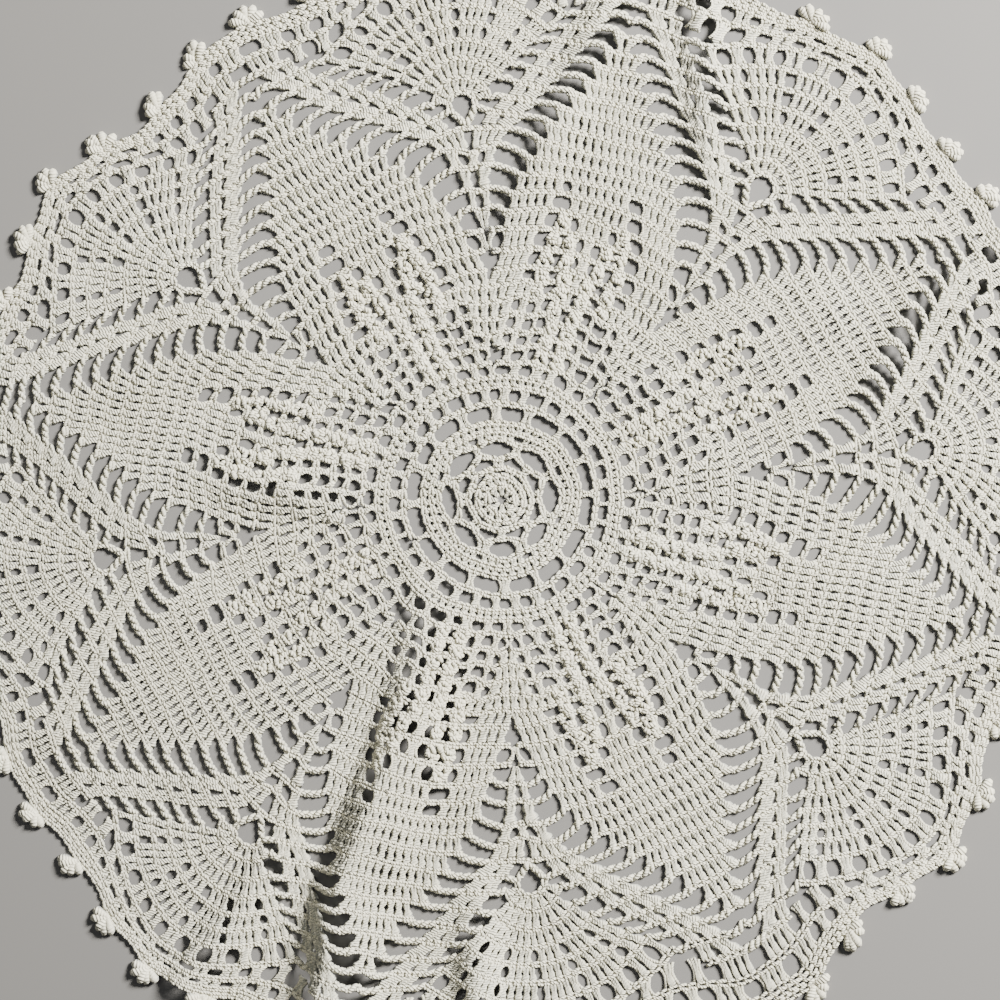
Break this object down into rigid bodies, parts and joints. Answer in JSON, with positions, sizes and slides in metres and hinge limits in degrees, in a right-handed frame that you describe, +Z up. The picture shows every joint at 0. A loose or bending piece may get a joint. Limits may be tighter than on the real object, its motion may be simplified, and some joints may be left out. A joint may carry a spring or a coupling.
{
  "type": "lace doily",
  "caption": "Round crocheted lace doily lying flat with soft folds: petals with tulip motifs and fans round a ringed centre, and a scalloped edge with popcorn picots.",
  "frame": {"origin": "middle of the outline's box, on the surface that the doily lies on", "axes": "+Z up out of the cloth; seen from above, +X to the right of the picture and +Y to its top"},
  "size_m": [0.3784, 0.3702, 0.0119],
  "materials": {
    "cotton": "matt off-white crochet cotton"
  },
  "bodies": {
    "root": {"doily": "cotton"}
  },
  "joints": []
}
